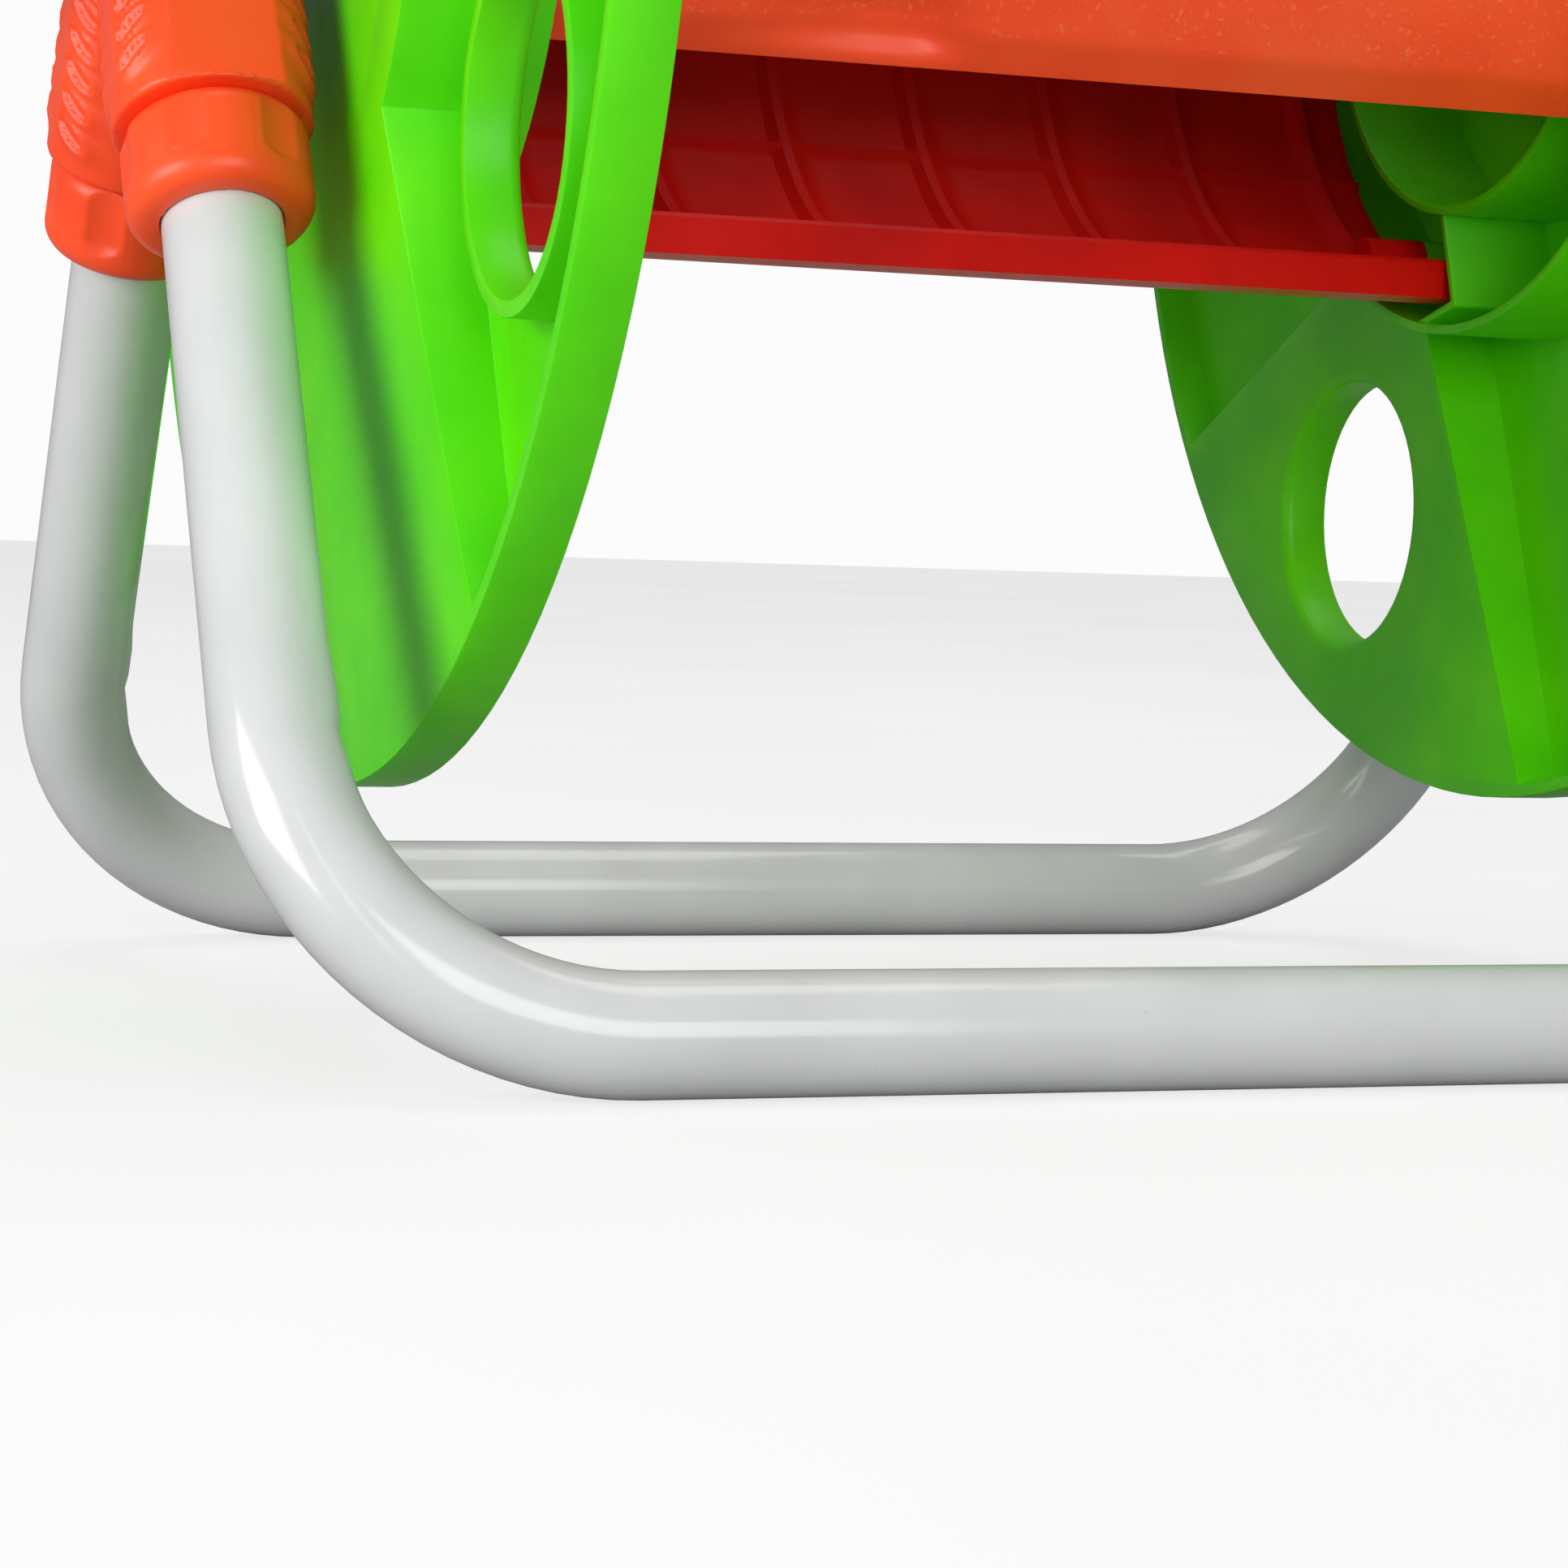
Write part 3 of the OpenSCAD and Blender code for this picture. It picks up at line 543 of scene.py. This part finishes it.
def makeStandPlastics():
    shape = bracketShape()
    collar = collarShape()
    print("bracket and collar shaped,", len(shape.data.polygons), len(collar.data.polygons), "faces")
    for side, name in ((-1, "left"), (1, "right")):
        spot = Matrix.Translation((side * legX * mm, 0, axleHeight * mm))
        mirrored = Matrix.Diagonal((-side, 1, 1, 1))
        bracket = twin(shape, name + "SideBracket", spot @ mirrored, flip=side > 0)
        smooth(bracket, 180)
        finishPiece(bracket, mouldedOrange, name + "_bracket")
        for turn, reach, where in ((-lean, "reach", "front"), (lean, "reach", "rear"),
                                   (math.pi, "topReach", "top")):
            drop = Matrix.Translation((0, 0, -(bracketSizes[reach] + collarSizes["gap"]) * mm))
            place = spot @ Matrix.Rotation(turn, 4, "X") @ drop
            ring = twin(collar, f"{name}{where.capitalize()}Collar", place)
            smooth(ring, 180)
            finishPiece(ring, mouldedOrange, f"{name}_{where}_collar")
    for spare in (shape, collar):
        bpy.data.objects.remove(spare)


makeStandPlastics()
print("brackets and collars made")

drumSizes = {
    "radius": 75, "wall": 3, "lip": 10, "lipWidth": 3, "halfSpan": 60, "end": 118, "column": 2.0, "row": 1.2,
    "ribPitch": 32, "ribShift": 11.5, "ribs": 7, "ribWidth": 2.6, "ribHeight": 2.2,
    "runAngle": 13, "runWidth": 1.1, "runHeight": 1.6,
    "bandAngle": 53.8, "bandAxis": 72.2, "bandTurn": 69.6,
    "scoopDepth": 4.0, "scoopReach": 9, "scoopAt": 9, "scoopFade": (0.5, 6), "scoopFrom": (-82, -48),
    "scoopTo": (-38, -26), "thinnest": 2.4, "lipRound": 0.8,
    "bossRadius": 4.2, "bossPlace": 68.4, "bossSpread": 42, "bossLength": 14, "bossGap": 0.3,
}
drumTurn = math.radians(63.4)  # where the rear shell's middle lies, from straight down


def shellShape():
    # one shell around straight down: a bent grid, given its wall, then its ribs, lips and finger scoop
    sizes = drumSizes
    span = math.radians(sizes["halfSpan"]) * sizes["radius"]
    pickNothing()
    bpy.ops.mesh.primitive_grid_add(x_subdivisions=int(2 * sizes["end"] / sizes["column"]),
                                    y_subdivisions=int(2 * span / sizes["row"]), size=2)
    shell = bpy.context.object
    for v in shell.data.vertices:
        x, t = v.co.x * sizes["end"] * mm, v.co.y * math.radians(sizes["halfSpan"])
        v.co = (x, sizes["radius"] * math.sin(t) * mm, -sizes["radius"] * math.cos(t) * mm)
    shell.name = "shellShape"
    editing(shell)
    bpy.ops.mesh.normals_make_consistent(inside=False)
    done()
    first = shell.data.polygons[0]
    if first.normal.dot(first.center) < 0:
        shell.data.flip_normals()
    applied(shell, "SOLIDIFY", thickness=sizes["wall"] * mm, offset=-1)
    count = len(shell.data.vertices)
    points = np.zeros(count * 3)
    shell.data.vertices.foreach_get("co", points)
    points = points.reshape(-1, 3) / mm
    x, radius = points[:, 0], np.hypot(points[:, 1], points[:, 2])
    turn = np.arctan2(points[:, 1], -points[:, 2])
    degrees = np.degrees(turn)
    outer = radius > sizes["radius"] - sizes["wall"] / 2
    fromEnd = (math.radians(sizes["halfSpan"]) - np.abs(turn)) * sizes["radius"]
    # the outside: flat bands along both edges and a finger scoop in one of them
    skin = np.full(count, float(sizes["radius"]))
    band = sizes["bandAxis"] / np.cos(np.abs(turn) - math.radians(sizes["bandTurn"]))
    skin = np.where(np.abs(degrees) > sizes["bandAngle"], np.minimum(skin, band), skin)
    scoop = softStep(x, *sizes["scoopFrom"]) * (1 - softStep(x, *sizes["scoopTo"])) * sizes["scoopDepth"]
    toEdge = (math.radians(sizes["halfSpan"]) - turn) * sizes["radius"]
    scoop *= np.exp(-((toEdge - sizes["scoopAt"]) / sizes["scoopReach"]) ** 2)
    skin -= scoop * softStep(toEdge, *sizes["scoopFade"])
    # the inside: broad ribs round the drum, two thin ones along it, and a deep lip at each edge
    depth = np.full(count, float(sizes["wall"]))
    for rib in range(sizes["ribs"]):
        at = sizes["ribShift"] + (rib - sizes["ribs"] // 2) * sizes["ribPitch"]
        depth += sizes["ribHeight"] * np.exp(-((x - at) / sizes["ribWidth"]) ** 4)
    for side in (-1, 1):
        away = (degrees - side * sizes["runAngle"]) * math.radians(1) * sizes["radius"]
        run = sizes["runHeight"] * np.exp(-(away / sizes["runWidth"]) ** 4)
        depth = np.maximum(depth, sizes["wall"] + run)
    lip = sizes["lip"] - sizes["lipRound"] * softStep(np.abs(fromEnd - sizes["lipWidth"] / 2), 0.9, 1.6)
    depth = np.where(fromEnd < sizes["lipWidth"], lip, depth)
    core = np.minimum(sizes["radius"] - depth, skin - sizes["thinnest"])
    reach = np.where(outer, skin, core)
    points[:, 1], points[:, 2] = reach * np.sin(turn), -reach * np.cos(turn)
    shell.data.vertices.foreach_set("co", (points * mm).ravel())
    shell.data.update()
    return shell


def makeShells():
    sizes = drumSizes
    shape = shellShape()
    for end in (-1, 1):
        for edge in (-1, 1):
            turn = math.radians(edge * sizes["bossSpread"])
            base = Vector((end * (sizes["end"] - sizes["bossLength"]), sizes["bossPlace"] * math.sin(turn),
                           -sizes["bossPlace"] * math.cos(turn)))
            boss = rod(sizes["bossRadius"], sizes["bossLength"] - sizes["bossGap"], base, (end, 0, 0), 40)
            shape = joined([shape, boss], "shellShape")
    lastX = sizes["end"] * 0.999 * mm
    for name, turn in (("rear", drumTurn), ("front", drumTurn + math.pi)):
        place = Matrix.Translation((0, 0, axleHeight * mm)) @ Matrix.Rotation(turn, 4, "X")
        shell = twin(shape, name + "DrumShell")
        smooth(shell, 32)
        finishPiece(shell, sparkErodedOrange, name + "_drum_shell")
        shell.data.materials.append(mouldedOrange)
        # the third slot, for the inside faces and the cut ends, is the red painted with through-light and shade
        shell.data.materials.append(insidePaintedLightAndShade)
        for face in shell.data.polygons:
            middle = face.center
            turned = abs(math.degrees(math.atan2(middle.y, -middle.z)))
            outward = Vector((0, middle.y, middle.z)).normalized().dot(face.normal)
            # inward faces and the cut ends take the red painted with through-light and shade
            if outward < 0.3 or abs(middle.x) > lastX:
                face.material_index = 2
            elif turned > sizes["bandAngle"]:
                face.material_index = 1
        shell.data.transform(place)
    bpy.data.objects.remove(shape)


makeShells()
print("drum shells made")

flangeSizes = {"holePitch": 134, "holeLead": 26.8, "holeRadius": 30, "mouth": 2.6, "slack": 0.3}


def openMouths(flange):
    # rounds the inner mouths of the four big holes
    mouths = []
    for n in range(4):
        turn = math.radians(flangeSizes["holeLead"] + 90 * n)
        pitch = flangeSizes["holePitch"]
        mouths.append((pitch * math.sin(turn), axleHeight - pitch * math.cos(turn)))
    editing(flange, "EDGE")
    bpy.ops.mesh.select_all(action="DESELECT")
    done()
    found = {}
    for edge in flange.data.edges:
        ends = [flange.data.vertices[v].co / mm for v in edge.vertices]
        for n, (y, z) in enumerate(mouths):
            level = abs(ends[0].x - ends[1].x) < 0.05
            off = max(abs(math.hypot(e.y - y, e.z - z) - flangeSizes["holeRadius"]) for e in ends)
            if level and off < flangeSizes["slack"]:
                found.setdefault((n, round(abs(ends[0].x), 1)), []).append(edge)
    for n in range(4):
        levels = [x for (m, x) in found if m == n]
        if levels:
            for edge in found[(n, min(levels))]:
                edge.select = True
    pick(flange)
    bpy.ops.object.mode_set(mode="EDIT")
    bpy.ops.mesh.bevel(offset=flangeSizes["mouth"] * mm, segments=5, affect="EDGES")
    done()


rounding = {"width": 0.4 * mm, "segments": 2, "degrees": 35}
for node in nodes:
    if node in standing:
        continue
    piece = cadCopy(node, node + "_look")
    if node.endswith("_flange"):
        openMouths(piece)
    roundEdges(piece, **rounding)
    smooth(piece)
    finishPiece(piece, looks[slotOf[node]], node)
print("other pieces made")

stageSizes = {"floorReach": 6.0, "floorDrop": 0.0002, "sky": 0.25, "backdrop": 0.97, "paperGlow": 0.8,
              "seenPaper": 0.22, "dimPaper": 0.42}
lamps = {  # name: place, aim, size in metres, watts
    "keySoftbox": ((-1.5, -0.5, 0.35), (-0.1, 0, 0.2), (0.9, 0.9), 19),
    "frontFill": ((0.0, -1.7, 0.5), (0, 0, 0.15), (1.2, 0.8), 15),
    "topSoftbox": ((0.2, 0.3, 2.2), (0, 0, 0.2), (1.6, 1.6), 20),
    "edgeStrip": ((-0.95, -1.5, 0.45), (-0.1, -0.1, 0.15), (0.04, 1.5), 1.6),
}


def makeFloor():
    # pale paper that throws less light back up than it shows, as with black cards beside it
    pickNothing()
    bpy.ops.mesh.primitive_plane_add(size=2 * stageSizes["floorReach"],
                                     location=(0, 0, -stageSizes["floorDrop"]))
    floor = bpy.context.object
    floor.name = "floor"
    bpy.ops.object.mode_set(mode="EDIT")
    bpy.ops.mesh.subdivide(number_cuts=4)
    bpy.ops.object.mode_set(mode="OBJECT")
    freeze(floor)
    paper = newMaterial("paleStudioPaper")
    place = addNode(paper, "ShaderNodeTexCoord")
    cloud = addNode(paper, "ShaderNodeTexNoise", {"Scale": 3.0}, Vector=(place, "Object"))
    seen = ramp(paper, cloud, "Fac", [(0.3, "#F5F5F5"), (0.7, "#F9F9F9")])
    litPaper = addNode(paper, "ShaderNodeBsdfDiffuse", {"Color": [stageSizes["seenPaper"]] * 3 + [1]})
    glow = addNode(paper, "ShaderNodeEmission", {"Strength": stageSizes["paperGlow"]}, Color=(seen, "Color"))
    seenPaper = addNode(paper, "ShaderNodeAddShader", {}, n0=(litPaper, "BSDF"), n1=(glow, "Emission"))
    dimPaper = addNode(paper, "ShaderNodeBsdfDiffuse", {"Color": [stageSizes["dimPaper"]] * 3 + [1]})
    ray = addNode(paper, "ShaderNodeLightPath")
    both = addNode(paper, "ShaderNodeMixShader", {}, n0=(ray, "Is Camera Ray"), n1=(dimPaper, "BSDF"),
                   n2=(seenPaper, "Shader"))
    addNode(paper, "ShaderNodeOutputMaterial", {}, Surface=(both, "Shader"))
    floor.data.materials.append(paper)


def addLight(name, place, aim, size, power):
    light = bpy.data.lights.new(name, "AREA")
    light.shape = "RECTANGLE"
    light.size, light.size_y = size
    light.energy = power
    lamp = bpy.data.objects.new(name, light)
    bpy.context.scene.collection.objects.link(lamp)
    lamp.location = place
    lamp.rotation_euler = (Vector(aim) - Vector(place)).to_track_quat("-Z", "Y").to_euler()


def makeLights():
    for name, (place, aim, size, power) in lamps.items():
        addLight(name, place, aim, size, power)
    world = bpy.data.worlds.new("studioWorld")
    bpy.context.scene.world = world
    world.use_nodes = True
    world.node_tree.nodes.clear()
    ray = addNode(world, "ShaderNodeLightPath")
    strength = addNode(world, "ShaderNodeMapRange",
                       {"To Min": stageSizes["sky"], "To Max": stageSizes["backdrop"]},
                       Value=(ray, "Is Camera Ray"))
    sky = addNode(world, "ShaderNodeBackground", {"Color": (1, 1, 1, 1)}, Strength=(strength, "Result"))
    addNode(world, "ShaderNodeOutputWorld", {}, Surface=(sky, "Background"))


cameraSetup = {
    "place": (-0.3190713, -0.7641115, 0.10101),
    "yaw": 20.3271, "pitch": 3.9395, "roll": -2.0413,  # degrees; pitch is downwards
    "lens": 92.2148, "sensor": 36, "clip": (0.02, 50),
}


def makeCamera():
    yaw, pitch, roll = (math.radians(cameraSetup[k]) for k in ("yaw", "pitch", "roll"))
    forward = Vector((math.sin(yaw) * math.cos(pitch), math.cos(yaw) * math.cos(pitch), -math.sin(pitch)))
    level = Vector((math.cos(yaw), -math.sin(yaw), 0))
    drop = forward.cross(level)
    right = math.cos(roll) * level + math.sin(roll) * drop
    down = -math.sin(roll) * level + math.cos(roll) * drop
    data = bpy.data.cameras.new("productCamera")
    data.lens = cameraSetup["lens"]
    data.sensor_width = cameraSetup["sensor"]
    data.clip_start, data.clip_end = cameraSetup["clip"]
    camera = bpy.data.objects.new("productCamera", data)
    bpy.context.scene.collection.objects.link(camera)
    turn = Matrix((right, -down, -forward)).transposed().to_4x4()
    camera.matrix_world = Matrix.Translation(cameraSetup["place"]) @ turn
    bpy.context.scene.camera = camera


makeFloor()
makeLights()
makeCamera()
bpy.context.scene.view_settings.view_transform = "Standard"
print("stage, lights and camera made")
